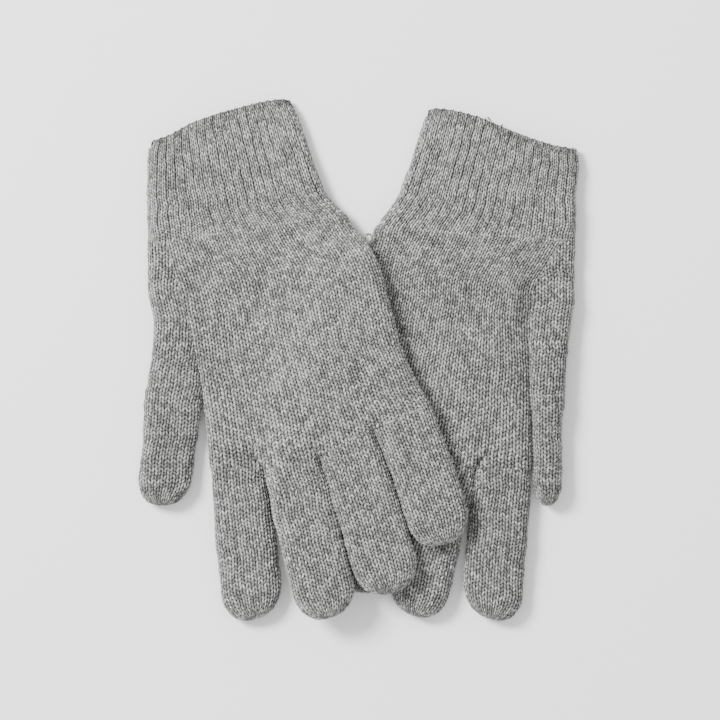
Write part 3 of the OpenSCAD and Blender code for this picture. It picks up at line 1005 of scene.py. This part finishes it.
def welt_piece(glove):
    """Cast-on edge and inner face of a cuff, closed deep inside."""
    length = cuff_length(glove)
    lip_at = length - 0.6
    outer = np.arange(length - WELT, lip_at, STEP)
    turn = np.radians(np.linspace(0, 180, 8))[1:-1]
    inner = np.arange(lip_at, length - INNER_DEPTH, -1.0)
    along = np.concatenate([outer, lip_at + LIP * np.sin(turn), inner])
    t = along / length
    inset = np.concatenate([np.zeros(len(outer)), LIP * (1 - np.cos(turn)),
                            np.full(len(inner), 2 * LIP)])
    is_inner = inset >= 2 * LIP
    closed = smooth((length - INNER_DEPTH + CLOSING - along) / CLOSING) * is_inner
    tall = (HALF + (MOUTH_HALF - HALF) * smooth(t) + 0.25 - inset) * (1 - 0.97 * closed)
    xy, z, wale, sign = cuff_rings(glove, t, tall, inset - WELT_OUT)
    path = np.concatenate([[0], np.cumsum(np.hypot(np.diff(along), np.diff(inset)))])
    course = np.broadcast_to((-(length - WELT + path) / COURSE)[:, None], z.shape)
    points = cuff_surface(glove, t, xy, z, sign)
    wale, course, height = fabric(wale, course)
    height = height * np.where(is_inner, -0.5, 1)[:, None]
    raised = raise_stitches(points, height)
    return make_piece(glove, glove["name"] + "_welt", raised, wale, course, EDGE_WOOL,
                      raised[-1].mean(axis=0))


for glove in (UPPER, LOWER):
    print(glove["name"], "cuff is", round(float(cuff_length(glove)), 1), "mm long")

# %% [markdown]
# ## Pulled yarn
#
# Worn knitting has a few stray ends. One small loop stands out where the upper glove crosses the
# lower cuff, and two cut ends show at the lower cuff's mouth. They could be curves with a round
# bevel, but they need stitch numbers for the yarn colour. So each is a thin tube: rings of eight
# points stand square to a soft curve through a few given places, and the radius shrinks at both
# ends.

# %% Pulled yarn
STRANDS = [
    (UPPER, "hand", "pulled_loop", 0.5, [[2.6, 54.5, 10.5], [1.8, 58, 12.5], [3.4, 60.8, 13.2],
                                         [6, 59.6, 12.6], [5.4, 56.6, 11.4], [3.6, 54.2, 10.5]]),
    (LOWER, "cuff", "yarn_end_long", 0.4, [[-50, 110.5, 5.5], [-50.9, 113.4, 7.6], [-50.2, 115.6, 8],
                                           [-48.6, 117, 7.4]]),
    (LOWER, "cuff", "yarn_end_short", 0.4, [[-54, 109, 5.5], [-55, 111.8, 7.8], [-56.6, 113.4, 7.6]])]


def soft_curve(places, count):
    """Points along a curve through the given places: a running mean of the straight path."""
    places = np.array(places, float)
    run = np.concatenate([[0], np.cumsum(np.linalg.norm(np.diff(places, axis=0), axis=1))])
    at = np.linspace(0, run[-1], count)
    reach = run[-1] / len(places) * 0.6
    steps = np.linspace(-reach, reach, 9)
    path = [sum(np.interp(np.clip(at + d, 0, run[-1]), run, places[:, k]) for d in steps) / 9
            for k in range(3)]
    return np.stack(path, axis=1)


def strand(glove, body, name, radius, places):
    """A thin twisted yarn along a soft curve."""
    path = soft_curve(places, 40)
    forward = np.gradient(path, axis=0)
    forward /= np.linalg.norm(forward, axis=1, keepdims=True)
    side = np.cross(forward, [0.3, 0.2, 1.0])
    side /= np.linalg.norm(side, axis=1, keepdims=True)
    up = np.cross(side, forward)
    turn = np.radians(np.arange(0, 360, 45))
    step = np.linspace(0, 1, len(path))
    thick = radius * np.sqrt(np.clip(1 - np.abs(2 * step - 1) ** 10, 0.02, 1))
    twist = 1 + 0.22 * np.cos(2 * turn[None] + step[:, None] * 30)
    rings = (thick[:, None] * twist)[..., None] * (
        side[:, None] * np.cos(turn)[None, :, None] + up[:, None] * np.sin(turn)[None, :, None])
    points = path[:, None] + rings
    wale = np.broadcast_to(turn / 6, points.shape[:2])
    course = np.broadcast_to(step[:, None] * 8, points.shape[:2])
    piece = make_piece(glove, glove["name"] + "_" + name, points, wale, course, KNIT_WOOL, path[-1])
    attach(piece, glove["name"] + "_" + body)
    return piece


print("strands:", ", ".join(row[2] for row in STRANDS))

# %% [markdown]
# ## Put the gloves together
#
# Each piece stands for its CAD nodes. The hand and gusset ride on the hand's body. Fingers, thumb
# and cuff have their transform baked into their meshes and ride on no body. A piece that rode on
# one body alone would tear away from its neighbour at a fold.


def bend(piece):
    """Bakes the piece's transform into its mesh; the piece follows no body."""
    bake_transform(piece)


def build(glove):
    """All pieces of one glove: some ride on its bodies, the others on none."""
    name = glove["name"]
    made = []
    hand = hand_piece(glove)
    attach(hand, name + "_hand")
    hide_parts(name + "_hand", name + "_finger_joins")
    gusset = gusset_piece(glove)
    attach(gusset, name + "_hand")
    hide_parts(name + "_thumb_gusset")
    made += [hand, gusset]
    for finger in glove["fingers"]:
        piece = finger_piece(glove, finger)
        bend(piece)
        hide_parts(name + "_" + finger + "_finger")
        made.append(piece)
    thumb = thumb_piece(glove)
    bend(thumb)
    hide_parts(name + "_thumb")
    cuff = cuff_piece(glove)
    bend(cuff)
    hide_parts(name + "_cuff")
    welt = welt_piece(glove)
    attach(welt, name + "_cuff")
    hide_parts(name + "_cuff_edge")
    made += [thumb, cuff, welt]
    return made


print("bend helpers ready for", ", ".join(UPPER["fingers"]), "finger, thumb and cuff")

# %% Build both gloves
pieces = build(LOWER) + build(UPPER) + [strand(*row) for row in STRANDS]
for piece in pieces:
    print(piece.name, len(piece.data.vertices), "points")
triangles = sum(len(p.data.loops) - 2 * len(p.data.polygons) for p in pieces)
print("triangles:", triangles)

# %% [markdown]
# ## Floor, light and camera
#
# The gloves lie on a plain white floor. One large soft light stands at the upper left and the sky
# fills the shadows, so the stitches are modelled by light from one side and nothing gets black.
# The camera looks straight down from far away with a long lens, which keeps the outlines as flat
# as in a drawing.

# %% Stage
def area_light(name, place, target, size, power):
    """A square soft light whose -Z axis looks at a target."""
    light = bpy.data.lights.new(name, "AREA")
    light.size = size
    light.energy = power
    lamp = bpy.data.objects.new(name, light)
    lamp.location = place
    direction = Vector(np.array(target) - np.array(place))
    lamp.rotation_euler = direction.to_track_quat("-Z", "Y").to_euler()
    bpy.context.scene.collection.objects.link(lamp)
    return lamp


floor_mesh = bpy.data.meshes.new("floor")
reach = 4.0
floor_mesh.from_pydata([(-reach, -reach, 0), (reach, -reach, 0), (reach, reach, 0), (-reach, reach, 0)],
                       [], [(0, 1, 2, 3)])
floor = bpy.data.objects.new("floor", floor_mesh)
floor_mesh.materials.append(plain("white_floor", (0.9, 0.9, 0.9)))
bpy.context.scene.collection.objects.link(floor)

world = bpy.data.worlds.new("studio")
world.use_nodes = True
world.node_tree.nodes["Background"].inputs["Color"].default_value = (1, 1, 1, 1)
world.node_tree.nodes["Background"].inputs["Strength"].default_value = 1.25
bpy.context.scene.world = world

area_light("key", (-1.2, 0.8, 1.35), (0, 0, 0), 0.6, 90)

# the view is 0.3456 m wide at the height of the gloves' middle line
view_width = 0.3456
distance = 1.6
camera = bpy.data.cameras.new("camera")
camera.sensor_width = 36
camera.lens = camera.sensor_width * distance / view_width
camera_object = bpy.data.objects.new("camera", camera)
camera_object.location = (0.00037, 0.00006, 0.01 + distance)
bpy.context.scene.collection.objects.link(camera_object)
bpy.context.scene.camera = camera_object
print("camera at", tuple(camera_object.location))
